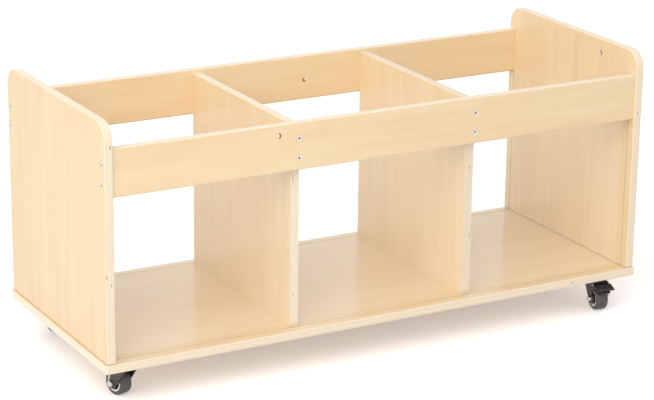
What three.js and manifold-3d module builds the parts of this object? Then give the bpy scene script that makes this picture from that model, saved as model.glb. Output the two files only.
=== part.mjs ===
// A picture book browser bin: an open plywood trough of three bays on a base board, with a clear
// sheet at the front and back of the bays, rolling on four swivel castors. The front two castors
// carry foot brakes. Millimetres, +X along the bin, +Y to its back, +Z up, origin on the floor.
import * as THREE from "three";
import { mergeVertices } from "three/addons/utils/BufferGeometryUtils.js";
import Module from "manifold-3d";

// Plywood carcass
const BOARD = 18;
const EDGE_ROUND = 2.5;
const BASE_LENGTH = 1200;
const BASE_DEPTH = 466;
const BASE_CORNER = 6;
const END_LEDGE = 4;
const FACE_LEDGE = 2;
const PANEL_HEIGHT = 462;
const PANEL_CORNER = 35;
const RAIL_HEIGHT = 93;
const RAIL_TOP = 413.5;
const RAIL_SETBACK = 4;
const DIVIDER_DROP = 6;
const BOARD_GAP = 0.2;

// Clear sheets, let into the base, the side panels and the backs of the rails
const SHEET = 3;
const GROOVE_DEPTH = 5;
const REBATE_HEIGHT = 10;
const SHEET_GAP = 0.3;

// Countersunk screws
const SCREW_HEAD_RADIUS = 4.8;
const SCREW_HEAD_DEPTH = 3.2;
const SCREW_SHANK_RADIUS = 2.4;
const SCREW_LENGTH = 48;
const SCREW_SOCKET_RADIUS = 2.3;
const SCREW_SOCKET_DEPTH = 2.2;
const SCREW_GAP = 0.3;
const SCREW_FROM_RAIL_TOP = 30.5;
const SCREW_PITCH = 38.5;
const FOOT_SCREW_INSET = 50;

// Castors
const CASTOR_HEIGHT = 73;
const CASTOR_INSET_X = 64;
const CASTOR_INSET_Y = 53;
const PLATE_SIDE = 60;
const PLATE_THICKNESS = 2.5;
const PLATE_CORNER = 7;
const PLATE_SCREW_PITCH = 46;
const PLATE_SCREW_RADIUS = 4.2;
const PLATE_SCREW_HEIGHT = 2.4;
const BALL_RADIUS = 2.9;
const RACE_RADIUS = 15.5;
const RACE_WALL = 2.5;
const RACE_CUP_HEIGHT = 4;
const KINGPIN_RADIUS = 5;
const KINGPIN_HEAD_RADIUS = 9;
const KINGPIN_HEAD_HEIGHT = 3;
const WHEEL_RADIUS = 25;
const WHEEL_WIDTH = 26;
const WHEEL_SHOULDER = 5;
const RIM_RADIUS = 17.5;
const RIM_WALL = 3.5;
const HUB_RADIUS = 8;
const WEB_THICKNESS = 13;
const TRAIL = 22;
const AXLE_RADIUS = 3;
const HEX_ACROSS_FLATS = 10;
const HEX_HEIGHT = 5;
const BOLT_END = 2;
const FORK_STEEL = 2.5;
const FORK_BEND = 5;
const FORK_LEAD = 17;
const FORK_REAR = 19;
const FORK_END_RADIUS = 10.5;
const FORK_SIDE_GAP = 1.5;
const CASTOR_GAP = 0.3;

// Foot brake, carried by ears on the fork
const BRAKE_PIN_RADIUS = 2.4;
const BRAKE_PIN_REACH = 28;
const BRAKE_PIN_HEIGHT = 55.5;
const BRAKE_EAR = 7;
const BRAKE_BARREL_RADIUS = 4.6;
const BRAKE_NOSE = 5.6;
const BRAKE_PRESS = THREE.MathUtils.degToRad(22);
const PEDAL_WIDTH = 38;
const PEDAL_REACH = 61;
const PEDAL_SHOULDER = 39;
const PEDAL_TIP_HEIGHT = 53.5;
const PEDAL_SKIRT = 6;
const PEDAL_TOE = 1.3;
const PEDAL_WALL = 2.2;
const LIP_WIDTH = 20;
const LIP_ROOT = 46;
const LIP_REACH = 59;
const LIP_TIP_HEIGHT = 45;

// Facets round a wheel, a castor's other turned pieces, and a screw or pin
const WHEEL_FACETS = 20;
const CASTOR_FACETS = 12;
const SCREW_FACETS = 8;

// Where each castor stands, and the way it trails at rest, measured from +X towards +Y
const CASTORS = [
  { name: "front_left", side: -1, face: -1, trail: 106, braked: true },
  { name: "front_right", side: 1, face: -1, trail: 260, braked: true },
  { name: "back_left", side: -1, face: 1, trail: 34, braked: false },
  { name: "back_right", side: 1, face: 1, trail: 72, braked: false },
];

// Levels and faces that several pieces share
const baseTop = CASTOR_HEIGHT + BOARD;
const panelOuter = BASE_LENGTH / 2 - END_LEDGE;
const panelInner = panelOuter - BOARD;
const panelDepth = BASE_DEPTH - 2 * FACE_LEDGE;
const railOuter = panelDepth / 2 - RAIL_SETBACK;
const railInner = railOuter - BOARD;
const railTop = baseTop + RAIL_TOP;
const railBottom = railTop - RAIL_HEIGHT;
const railMiddle = railOuter - BOARD / 2;
const bayWidth = (2 * panelInner - 2 * BOARD) / 3;
const dividerX = (bayWidth + BOARD) / 2;
const sheetTop = railBottom + REBATE_HEIGHT - SHEET_GAP;
const sheetBottom = baseTop - GROOVE_DEPTH + SHEET_GAP;
const sheetEnd = panelInner + GROOVE_DEPTH - SHEET_GAP;
const sheetMiddle = railInner + SHEET / 2 + BOARD_GAP;
const plateUnder = CASTOR_HEIGHT - BOARD_GAP - PLATE_THICKNESS;
const crownTop = plateUnder - 2 * BALL_RADIUS - 2 * CASTOR_GAP;
const crownUnder = crownTop - FORK_STEEL;
const forkInner = WHEEL_WIDTH / 2 + FORK_SIDE_GAP;
const forkOuter = forkInner + FORK_STEEL;

const BIRCH = new THREE.MeshStandardMaterial({ color: 0xf1d6a8, roughness: 0.45, metalness: 0 });
const CLEAR = new THREE.MeshStandardMaterial({
  color: 0xf4f6f4,
  roughness: 0.05,
  metalness: 0,
  transparent: true,
  opacity: 0.25,
});
const ZINC = new THREE.MeshStandardMaterial({ color: 0xc6c8c6, roughness: 0.3, metalness: 1 });
const BLACK_STEEL = new THREE.MeshStandardMaterial({ color: 0x1b1918, roughness: 0.45, metalness: 0.3 });
const BLACK_PLASTIC = new THREE.MeshStandardMaterial({ color: 0x1a191c, roughness: 0.5, metalness: 0 });
const TYRE_RUBBER = new THREE.MeshStandardMaterial({ color: 0x3c3b3a, roughness: 0.7, metalness: 0 });
const PALE_PLASTIC = new THREE.MeshStandardMaterial({ color: 0xdcdedb, roughness: 0.35, metalness: 0 });

const wasm = await Module();
wasm.setup();

// A closed geometry as a solid that can be joined and cut.
function toSolid(geometry) {
  const bare = geometry.clone();
  bare.deleteAttribute("normal");
  bare.deleteAttribute("uv");
  const merged = mergeVertices(bare, 1e-4);
  const corners = merged.index.array;
  const kept = [];
  for (let i = 0; i < corners.length; i += 3) {
    const [a, b, c] = corners.slice(i, i + 3);
    if (a !== b && b !== c && c !== a) kept.push(a, b, c);
  }
  const mesh = new wasm.Mesh({
    numProp: 3,
    vertProperties: new Float32Array(merged.attributes.position.array),
    triVerts: new Uint32Array(kept),
  });
  return new wasm.Manifold(mesh);
}

// A solid as a geometry with flat-shaded faces.
function toGeometry(solid) {
  const mesh = solid.getMesh();
  const geometry = new THREE.BufferGeometry();
  geometry.setAttribute("position", new THREE.BufferAttribute(new Float32Array(mesh.vertProperties), 3));
  geometry.setIndex(new THREE.BufferAttribute(new Uint32Array(mesh.triVerts), 1));
  const faceted = geometry.toNonIndexed();
  faceted.computeVertexNormals();
  return faceted;
}

// Joins the first geometries and cuts the others out of them.
function shaped(joined, cuts = []) {
  let solid = toSolid(joined[0]);
  for (const more of joined.slice(1)) solid = solid.add(toSolid(more));
  for (const cut of cuts) solid = solid.subtract(toSolid(cut));
  return toGeometry(solid);
}

const X = new THREE.Vector3(1, 0, 0);
const Y = new THREE.Vector3(0, 1, 0);
const Z = new THREE.Vector3(0, 0, 1);
// Outlines drawn in the YZ plane run along X, and outlines drawn in the XZ plane run along Y.
const ALONG_X = new THREE.Matrix4().makeBasis(Y, Z, X);
const ALONG_Y = new THREE.Matrix4().makeBasis(X, Z, Y.clone().negate());

// An outline run to a length, half each way, with its two end faces rounded over.
function prism(outline, length, { round = 0, arcs = 4 } = {}) {
  const geometry = new THREE.ExtrudeGeometry(outline, {
    depth: length - 2 * round,
    curveSegments: arcs,
    bevelEnabled: round > 0,
    bevelThickness: round,
    bevelSize: round,
    bevelOffset: -round,
    bevelSegments: 2,
  });
  return geometry.translate(0, 0, round - length / 2);
}

// A profile of [radius, height] points turned about Y.
function turned(profile, facets, start = 0) {
  const points = profile.map(([radius, height]) => new THREE.Vector2(radius, height));
  return new THREE.LatheGeometry(points, facets, start);
}

// The same profile turned about Z.
function turnedUpright(profile, facets) {
  return turned(profile, facets).rotateX(Math.PI / 2);
}

function box(xSize, ySize, zSize, x, y, z) {
  return new THREE.BoxGeometry(xSize, ySize, zSize).translate(x, y, z);
}

// A rod lying along Y.
function crossRod(radius, length, facets, x, z) {
  return new THREE.CylinderGeometry(radius, radius, length, facets).translate(x, 0, z);
}

function piece(name, geometry, material) {
  const mesh = new THREE.Mesh(geometry, material);
  mesh.name = name;
  return mesh;
}

// A rectangle about the origin with round corners.
function roundedRectangle(width, height, radius) {
  const [w, h, r] = [width / 2, height / 2, radius];
  const outline = new THREE.Shape();
  outline.absarc(w - r, h - r, r, 0, Math.PI / 2);
  outline.absarc(-w + r, h - r, r, Math.PI / 2, Math.PI);
  outline.absarc(-w + r, -h + r, r, Math.PI, 1.5 * Math.PI);
  outline.absarc(w - r, -h + r, r, 1.5 * Math.PI, 2 * Math.PI);
  return outline;
}

// The screw, and with a gap the hole that it sits in, with its head's face at y = 0.
function screwProfile(gap) {
  const shank = SCREW_SHANK_RADIUS + gap;
  const head = SCREW_HEAD_RADIUS + gap;
  return [
    [0, SCREW_LENGTH + gap],
    [shank / 2, SCREW_LENGTH + gap],
    [shank, SCREW_LENGTH - SCREW_HEAD_DEPTH],
    [shank, SCREW_HEAD_DEPTH + gap],
    [head, gap],
    [head, gap > 0 ? -1 : 0],
    [0, gap > 0 ? -1 : 0],
  ].reverse();
}

const screwGeometry = shaped(
  [turned(screwProfile(0), SCREW_FACETS)],
  [new THREE.CylinderGeometry(SCREW_SOCKET_RADIUS, SCREW_SOCKET_RADIUS, 2 * SCREW_SOCKET_DEPTH, 6)],
);

// A screw whose head faces back along the direction it drives in.
function screw(name, x, y, z, direction) {
  const mesh = piece(name, screwGeometry, ZINC);
  mesh.position.set(x, y, z);
  mesh.quaternion.setFromUnitVectors(Y, direction);
  mesh.updateMatrix();
  return mesh;
}

// Takes the holes for the screws out of a board that is already in its place.
function drill(board, screws) {
  board.updateMatrix();
  const toBoard = board.matrix.clone().invert();
  const holes = screws.map((s) =>
    turned(screwProfile(SCREW_GAP), SCREW_FACETS).applyMatrix4(toBoard.clone().multiply(s.matrix)),
  );
  board.geometry = shaped([board.geometry], holes);
}

// Base board, with a groove for each sheet and countersinks below for the uprights' foot screws.
function baseBoard() {
  const plan = roundedRectangle(BASE_LENGTH, BASE_DEPTH, BASE_CORNER);
  const slab = prism(plan, BOARD, { round: EDGE_ROUND, arcs: 4 }).translate(0, 0, BOARD / 2);
  const cuts = [-1, 1].map((face) =>
    box(
      2 * (panelInner + GROOVE_DEPTH),
      SHEET + 2 * SHEET_GAP,
      2 * GROOVE_DEPTH,
      0,
      face * sheetMiddle,
      BOARD,
    ),
  );
  const footReach = railInner - FOOT_SCREW_INSET;
  const countersink = [
    [0, -1],
    [SCREW_HEAD_RADIUS + SCREW_GAP, -1],
    [SCREW_HEAD_RADIUS + SCREW_GAP, 0],
    [SCREW_SHANK_RADIUS, SCREW_HEAD_DEPTH],
    [0, SCREW_HEAD_DEPTH],
  ];
  for (const x of [-panelInner - BOARD / 2, -dividerX, dividerX, panelInner + BOARD / 2]) {
    for (const y of [-footReach, 0, footReach]) {
      cuts.push(turnedUpright(countersink, SCREW_FACETS).translate(x, y, 0));
    }
  }
  const mesh = piece("base_board", shaped([slab], cuts), BIRCH);
  mesh.position.z = CASTOR_HEIGHT;
  return mesh;
}

// Side panel with its top corners rounded, grooved on its inner face, which looks along +X.
function sidePanel(name) {
  const half = panelDepth / 2;
  const outline = new THREE.Shape();
  outline.moveTo(-half, -EDGE_ROUND);
  outline.lineTo(half, -EDGE_ROUND);
  outline.absarc(half - PANEL_CORNER, PANEL_HEIGHT - PANEL_CORNER, PANEL_CORNER, 0, Math.PI / 2);
  outline.absarc(-half + PANEL_CORNER, PANEL_HEIGHT - PANEL_CORNER, PANEL_CORNER, Math.PI / 2, Math.PI);
  const slab = prism(outline, BOARD, { round: EDGE_ROUND, arcs: 7 }).applyMatrix4(ALONG_X);
  const cuts = [box(2 * BOARD, 2 * panelDepth, BOARD, 0, 0, BOARD_GAP - BOARD / 2)];
  const grooveTop = sheetTop - baseTop + SHEET_GAP;
  for (const face of [-1, 1]) {
    cuts.push(
      box(2 * GROOVE_DEPTH, SHEET + 2 * SHEET_GAP, 2 * grooveTop, BOARD / 2, face * sheetMiddle, 0),
    );
  }
  const mesh = piece(name, shaped([slab], cuts), BIRCH);
  mesh.position.set(-panelInner - BOARD / 2, 0, baseTop);
  return mesh;
}

// Rail drawn in section, with the rebate for the sheet low on its inner side, which looks to +Y.
function rail(name) {
  const [w, h, r] = [BOARD / 2, RAIL_HEIGHT / 2, EDGE_ROUND];
  const rebate = w - SHEET - BOARD_GAP - SHEET_GAP;
  const outline = new THREE.Shape();
  outline.absarc(-w + r, -h + r, r, Math.PI, 1.5 * Math.PI);
  outline.lineTo(rebate, -h);
  outline.lineTo(rebate, -h + REBATE_HEIGHT);
  outline.lineTo(w, -h + REBATE_HEIGHT);
  outline.absarc(w - r, h - r, r, 0, Math.PI / 2);
  outline.absarc(-w + r, h - r, r, Math.PI / 2, Math.PI);
  const bar = prism(outline, 2 * (panelInner - BOARD_GAP), { arcs: 3 }).applyMatrix4(ALONG_X);
  const mesh = piece(name, shaped([bar]), BIRCH);
  mesh.position.set(0, -railMiddle, railTop - RAIL_HEIGHT / 2);
  return mesh;
}

// Divider drawn in section, with the two arrises of its top edge rounded over.
function divider(name, x) {
  const [w, r] = [BOARD / 2, EDGE_ROUND];
  const top = RAIL_TOP - DIVIDER_DROP;
  const outline = new THREE.Shape();
  outline.moveTo(-w, BOARD_GAP);
  outline.lineTo(w, BOARD_GAP);
  outline.absarc(w - r, top - r, r, 0, Math.PI / 2);
  outline.absarc(-w + r, top - r, r, Math.PI / 2, Math.PI);
  const slab = prism(outline, 2 * (railInner - BOARD_GAP), { arcs: 3 }).applyMatrix4(ALONG_Y);
  const mesh = piece(name, shaped([slab]), BIRCH);
  mesh.position.set(x, 0, baseTop);
  return mesh;
}

function clearSheet(name, face) {
  const mesh = piece(name, new THREE.BoxGeometry(2 * sheetEnd, SHEET, sheetTop - sheetBottom), CLEAR);
  mesh.position.set(0, face * sheetMiddle, (sheetTop + sheetBottom) / 2);
  return mesh;
}

// Boards, sheets and the screws that pin each rail to the dividers and to the side panels.
function carcass() {
  const group = new THREE.Group();
  const base = baseBoard();
  const left = sidePanel("left_side_panel");
  const right = sidePanel("right_side_panel");
  right.position.x *= -1;
  right.rotation.z = Math.PI;
  const front = rail("front_rail");
  const back = rail("back_rail");
  back.position.y *= -1;
  back.rotation.z = Math.PI;
  const leftDivider = divider("left_divider", -dividerX);
  const rightDivider = divider("right_divider", dividerX);

  const levels = [0, 1].map((row) => railTop - SCREW_FROM_RAIL_TOP - row * SCREW_PITCH);
  const screws = [];
  for (const [rank, x] of [-dividerX, dividerX].entries()) {
    for (const [row, z] of levels.entries()) {
      const number = 2 * rank + row + 1;
      screws.push(screw(`front_rail_screw_${number}`, x, -railOuter, z, Y));
      screws.push(screw(`back_rail_screw_${number}`, x, railOuter, z, Y.clone().negate()));
    }
  }
  for (const [rank, y] of [-railMiddle, railMiddle].entries()) {
    for (const [row, z] of levels.entries()) {
      const number = 2 * rank + row + 1;
      screws.push(screw(`left_panel_screw_${number}`, -panelOuter, y, z, X));
      screws.push(screw(`right_panel_screw_${number}`, panelOuter, y, z, X.clone().negate()));
    }
  }
  for (const board of [left, right, front, back, leftDivider, rightDivider]) drill(board, screws);
  group.add(base, left, right, front, back, leftDivider, rightDivider);
  group.add(clearSheet("front_clear_sheet", -1), clearSheet("back_clear_sheet", 1));
  group.add(...screws);
  return group;
}

// Fixing plate with a boss round the kingpin and a pan-head screw in each corner.
function castorPlate(name) {
  const outline = roundedRectangle(PLATE_SIDE, PLATE_SIDE, PLATE_CORNER);
  const slab = prism(outline, PLATE_THICKNESS, { arcs: 3 }).translate(0, 0, PLATE_THICKNESS / 2);
  const bossRadius = RACE_RADIUS - BALL_RADIUS - 2 * CASTOR_GAP;
  const bossDepth = 1.5 * BALL_RADIUS;
  const boss = turnedUpright(
    [
      [0, -bossDepth],
      [bossRadius, -bossDepth],
      [bossRadius, PLATE_THICKNESS / 2],
      [0, PLATE_THICKNESS / 2],
    ],
    CASTOR_FACETS,
  );
  const joined = [slab, boss];
  const pan = [
    [0, -PLATE_SCREW_HEIGHT],
    [0.6 * PLATE_SCREW_RADIUS, -PLATE_SCREW_HEIGHT],
    [PLATE_SCREW_RADIUS, -0.4 * PLATE_SCREW_HEIGHT],
    [PLATE_SCREW_RADIUS, PLATE_THICKNESS / 2],
    [0, PLATE_THICKNESS / 2],
  ];
  for (const x of [-1, 1]) {
    for (const y of [-1, 1]) {
      const corner = turnedUpright(pan, SCREW_FACETS);
      joined.push(corner.translate((x * PLATE_SCREW_PITCH) / 2, (y * PLATE_SCREW_PITCH) / 2, 0));
    }
  }
  const bore = KINGPIN_RADIUS + CASTOR_GAP;
  const hole = turnedUpright(
    [
      [0, -bossDepth - 1],
      [bore, -bossDepth - 1],
      [bore, 0],
      [bore + PLATE_THICKNESS, PLATE_THICKNESS],
      [bore + PLATE_THICKNESS, PLATE_THICKNESS + 1],
      [0, PLATE_THICKNESS + 1],
    ],
    CASTOR_FACETS,
  );
  const mesh = piece(name, shaped(joined, [hole]), BLACK_STEEL);
  mesh.position.z = plateUnder;
  return mesh;
}

// Rivet that hangs the fork from the plate: flared above, with a round head below the crown.
function kingpin(name) {
  const bottom = crownUnder - CASTOR_GAP;
  const top = plateUnder + PLATE_THICKNESS;
  const profile = [
    [0, bottom - KINGPIN_HEAD_HEIGHT],
    [0.6 * KINGPIN_HEAD_RADIUS, bottom - KINGPIN_HEAD_HEIGHT],
    [KINGPIN_HEAD_RADIUS, bottom - 0.4 * KINGPIN_HEAD_HEIGHT],
    [KINGPIN_HEAD_RADIUS, bottom],
    [KINGPIN_RADIUS, bottom],
    [KINGPIN_RADIUS, plateUnder],
    [KINGPIN_RADIUS + PLATE_THICKNESS, top],
    [0, top],
  ];
  return piece(name, shaped([turnedUpright(profile, CASTOR_FACETS)]), ZINC);
}

// The caged ring of balls between plate and crown.
function ballRace(name) {
  const sides = 6;
  const profile = [];
  for (let i = 0; i <= sides; i++) {
    const angle = ((i % sides) * 2 * Math.PI) / sides;
    profile.push([RACE_RADIUS + BALL_RADIUS * Math.cos(angle), BALL_RADIUS * Math.sin(angle)]);
  }
  const mesh = piece(name, shaped([turnedUpright(profile, CASTOR_FACETS)]), ZINC);
  mesh.position.z = crownTop + CASTOR_GAP + BALL_RADIUS;
  return mesh;
}

// The point where a line from [x, z] touches the round end of the fork's leg, on the given side.
function touchEnd(x, z, side) {
  const [dx, dz] = [x - TRAIL, z - WHEEL_RADIUS];
  const reach = Math.hypot(dx, dz);
  return Math.atan2(dz, dx) - side * Math.acos(FORK_END_RADIUS / reach);
}

// Pressed fork: a channel cut to the legs' outline, under a round crown with the race's cup.
function fork(name, braked) {
  const [outer, inner, bend] = [forkOuter, forkInner, FORK_BEND];
  const section = new THREE.Shape();
  section.moveTo(outer, 0);
  section.lineTo(outer, crownTop - bend);
  section.absarc(outer - bend, crownTop - bend, bend, 0, Math.PI / 2);
  section.absarc(-outer + bend, crownTop - bend, bend, Math.PI / 2, Math.PI);
  section.lineTo(-outer, 0);
  section.lineTo(-inner, 0);
  section.absarc(-outer + bend, crownTop - bend, bend - FORK_STEEL, Math.PI, Math.PI / 2, true);
  section.absarc(outer - bend, crownTop - bend, bend - FORK_STEEL, Math.PI / 2, 0, true);
  section.lineTo(inner, 0);
  const channel = prism(section, 6 * WHEEL_RADIUS, { arcs: 3 }).applyMatrix4(ALONG_X);

  const above = crownTop + 1;
  const rear = braked ? BRAKE_PIN_REACH + BRAKE_EAR : FORK_REAR;
  const rearFoot = braked ? BRAKE_PIN_HEIGHT - BRAKE_EAR : crownUnder;
  const outline = new THREE.Shape();
  outline.moveTo(-FORK_LEAD, above);
  outline.lineTo(-FORK_LEAD, crownUnder);
  outline.absarc(
    TRAIL,
    WHEEL_RADIUS,
    FORK_END_RADIUS,
    touchEnd(-FORK_LEAD, crownUnder, -1),
    touchEnd(rear, rearFoot, 1) + 2 * Math.PI,
  );
  outline.lineTo(rear, rearFoot);
  outline.lineTo(rear, above);
  const legs = prism(outline, 3 * outer, { arcs: 7 }).applyMatrix4(ALONG_Y);

  const cupInner = RACE_RADIUS + BALL_RADIUS + 2 * CASTOR_GAP;
  const crown = turnedUpright(
    [
      [0, crownUnder],
      [cupInner, crownUnder],
      [cupInner + RACE_WALL, crownUnder + RACE_WALL / 2],
      [cupInner + RACE_WALL, crownTop + RACE_CUP_HEIGHT],
      [cupInner, crownTop + RACE_CUP_HEIGHT],
      [cupInner, crownTop],
      [0, crownTop],
    ],
    CASTOR_FACETS,
  );
  const bore = KINGPIN_RADIUS + CASTOR_GAP;
  const holes = [
    turnedUpright(
      [
        [0, crownUnder - 1],
        [bore, crownUnder - 1],
        [bore, above],
        [0, above],
      ],
      CASTOR_FACETS,
    ),
    crossRod(AXLE_RADIUS + CASTOR_GAP, 3 * outer, SCREW_FACETS, TRAIL, WHEEL_RADIUS),
  ];
  if (braked) {
    holes.push(
      crossRod(BRAKE_PIN_RADIUS + CASTOR_GAP, 3 * outer, SCREW_FACETS, BRAKE_PIN_REACH, BRAKE_PIN_HEIGHT),
    );
  }
  let solid = toSolid(channel).intersect(toSolid(legs)).add(toSolid(crown));
  for (const hole of holes) solid = solid.subtract(toSolid(hole));
  return piece(name, toGeometry(solid), BLACK_STEEL);
}

// A tyre with rounded shoulders. It is turned so that one of its facets lies flat on the floor.
function tyre(name) {
  const half = WHEEL_WIDTH / 2;
  const flat = 1 / Math.cos(Math.PI / WHEEL_FACETS);
  const seat = (RIM_RADIUS + CASTOR_GAP) * flat;
  const arc = 3;
  const profile = [[seat, -half]];
  for (const side of [-1, 1]) {
    for (let i = 0; i <= arc; i++) {
      const angle = ((side < 0 ? i : arc - i) * Math.PI) / 2 / arc;
      const radius = WHEEL_RADIUS - WHEEL_SHOULDER * (1 - Math.sin(angle));
      profile.push([radius * flat, side * (half - WHEEL_SHOULDER * (1 - Math.cos(angle)))]);
    }
  }
  profile.push([seat, half], [seat, -half]);
  return piece(name, shaped([turned(profile, WHEEL_FACETS, Math.PI / WHEEL_FACETS)]), TYRE_RUBBER);
}

// Wheel centre: a rim that seats the tyre, a thin web and a hub that fills the fork.
function wheelHub(name) {
  const rim = WHEEL_WIDTH / 2 - 0.7;
  const web = WEB_THICKNESS / 2;
  const end = forkInner - CASTOR_GAP;
  const bore = AXLE_RADIUS + CASTOR_GAP;
  const half = [
    [bore, end],
    [HUB_RADIUS, end],
    [HUB_RADIUS, web],
    [RIM_RADIUS - RIM_WALL, web],
    [RIM_RADIUS - RIM_WALL, rim],
    [RIM_RADIUS, rim],
  ];
  const profile = [...half.map(([r, y]) => [r, -y]), ...half.slice().reverse(), [bore, -end]];
  return piece(name, shaped([turned(profile, WHEEL_FACETS, Math.PI / WHEEL_FACETS)]), PALE_PLASTIC);
}

// Axle bolt with its hexagon head outside one leg, and its end past the nut on the other.
function axleBolt(name) {
  const radius = HEX_ACROSS_FLATS / Math.sqrt(3);
  const seat = forkOuter + CASTOR_GAP;
  const length = 2 * seat + HEX_HEIGHT + BOLT_END + HEX_HEIGHT / 2;
  const shank = new THREE.CylinderGeometry(AXLE_RADIUS, AXLE_RADIUS, length, SCREW_FACETS);
  shank.translate(0, length / 2 - seat - HEX_HEIGHT / 2, 0);
  const head = new THREE.CylinderGeometry(radius, radius, HEX_HEIGHT, 6);
  head.translate(0, -seat - HEX_HEIGHT / 2, 0);
  const mesh = piece(name, shaped([shank, head]), ZINC);
  mesh.position.set(TRAIL, 0, WHEEL_RADIUS);
  return mesh;
}

function axleNut(name) {
  const radius = HEX_ACROSS_FLATS / Math.sqrt(3);
  const bore = AXLE_RADIUS + CASTOR_GAP;
  const body = new THREE.CylinderGeometry(radius, radius, HEX_HEIGHT, 6);
  const hole = new THREE.CylinderGeometry(bore, bore, 2 * HEX_HEIGHT, SCREW_FACETS);
  const mesh = piece(name, shaped([body], [hole]), ZINC);
  mesh.position.set(TRAIL, forkOuter + CASTOR_GAP + HEX_HEIGHT / 2, WHEEL_RADIUS);
  return mesh;
}

// Foot brake: a barrel and nose between the ears on a riveted pin, and a hollow pedal behind with a
// release lip under its toe. Pressed down, its nose turns to face the tyre's tread.
function brakePedal(name) {
  const [px, pz] = [BRAKE_PIN_REACH, BRAKE_PIN_HEIGHT];
  const toWheel = Math.atan2(WHEEL_RADIUS - pz, TRAIL - px);
  const nose = toWheel + BRAKE_PRESS;
  const top = pz + BRAKE_BARREL_RADIUS;
  const inside = 2 * (forkOuter - FORK_BEND);
  const lever = new THREE.Shape();
  lever.moveTo(px, top);
  lever.absarc(px, pz, BRAKE_BARREL_RADIUS, Math.PI / 2, nose + 2 * Math.PI - 0.7);
  lever.lineTo(px + BRAKE_NOSE * Math.cos(nose - 0.25), pz + BRAKE_NOSE * Math.sin(nose - 0.25));
  lever.lineTo(px + BRAKE_NOSE * Math.cos(nose), pz + BRAKE_NOSE * Math.sin(nose));
  lever.lineTo(PEDAL_SHOULDER + PEDAL_WALL, top - PEDAL_SKIRT);
  lever.lineTo(PEDAL_SHOULDER + PEDAL_WALL, top);
  const arm = prism(lever, inside, { arcs: 5 }).applyMatrix4(ALONG_Y);

  const fall = (PEDAL_TIP_HEIGHT - top) / (PEDAL_REACH - PEDAL_SHOULDER);
  const skinUnder = (x) => top + fall * (x - PEDAL_SHOULDER) - PEDAL_WALL;
  const pedal = new THREE.Shape();
  pedal.moveTo(PEDAL_SHOULDER, top);
  pedal.lineTo(PEDAL_SHOULDER, top - PEDAL_SKIRT);
  pedal.lineTo(PEDAL_REACH, PEDAL_TIP_HEIGHT - PEDAL_TOE);
  pedal.lineTo(PEDAL_REACH, PEDAL_TIP_HEIGHT);
  const toe = prism(pedal, PEDAL_WIDTH, { arcs: 4 }).applyMatrix4(ALONG_Y);
  const [pocketStart, pocketEnd] = [PEDAL_SHOULDER + PEDAL_WALL, PEDAL_REACH - 3 * PEDAL_WALL];
  const hollow = new THREE.Shape();
  hollow.moveTo(pocketStart, skinUnder(pocketStart));
  hollow.lineTo(pocketStart, top - 3 * PEDAL_SKIRT);
  hollow.lineTo(pocketEnd, top - 3 * PEDAL_SKIRT);
  hollow.lineTo(pocketEnd, skinUnder(pocketEnd));
  const pocket = prism(hollow, PEDAL_WIDTH - 2 * PEDAL_WALL).applyMatrix4(ALONG_Y);
  const tongue = new THREE.Shape();
  tongue.moveTo(LIP_ROOT, skinUnder(LIP_ROOT) + PEDAL_WALL / 2);
  tongue.lineTo(LIP_ROOT, skinUnder(LIP_ROOT) - PEDAL_WALL);
  tongue.lineTo(LIP_REACH - PEDAL_WALL / 2, LIP_TIP_HEIGHT);
  tongue.lineTo(LIP_REACH, LIP_TIP_HEIGHT + PEDAL_WALL / 2);
  tongue.lineTo(LIP_ROOT + PEDAL_WALL, skinUnder(LIP_ROOT) - PEDAL_WALL / 4);
  tongue.lineTo(LIP_ROOT + PEDAL_WALL, skinUnder(LIP_ROOT) + PEDAL_WALL / 2 + fall * PEDAL_WALL);
  const lip = prism(tongue, LIP_WIDTH).applyMatrix4(ALONG_Y);
  const pin = crossRod(BRAKE_PIN_RADIUS, 2 * (forkOuter - CASTOR_GAP), SCREW_FACETS, px, pz);
  const solid = [arm, lip, pin].reduce(
    (made, one) => made.add(toSolid(one)),
    toSolid(toe).subtract(toSolid(pocket)),
  );
  return piece(name, toGeometry(solid), BLACK_PLASTIC);
}

// One castor about its swivel axis: the plate stays square to the base and the fork turns below it.
function castor({ name, side, face, trail, braked }) {
  const group = new THREE.Group();
  group.position.x = side * (BASE_LENGTH / 2 - CASTOR_INSET_X);
  group.position.y = face * (BASE_DEPTH / 2 - CASTOR_INSET_Y);
  group.add(castorPlate(`${name}_castor_plate`), kingpin(`${name}_kingpin`), ballRace(`${name}_ball_race`));

  const swivel = new THREE.Group();
  swivel.rotation.z = THREE.MathUtils.degToRad(trail);
  swivel.add(fork(`${name}_fork`, braked), axleBolt(`${name}_axle_bolt`), axleNut(`${name}_axle_nut`));
  if (braked) swivel.add(brakePedal(`${name}_brake_pedal`));

  const wheel = new THREE.Group();
  wheel.position.set(TRAIL, 0, WHEEL_RADIUS);
  wheel.add(tyre(`${name}_tyre`), wheelHub(`${name}_wheel_hub`));
  swivel.add(wheel);
  group.add(swivel);
  return group;
}

const bin = new THREE.Group();
bin.add(carcass(), ...CASTORS.map(castor));

export default bin;
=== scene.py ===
from math import cos, pi, radians, sin

import bmesh
import bpy
from mathutils import Matrix, Vector


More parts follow.
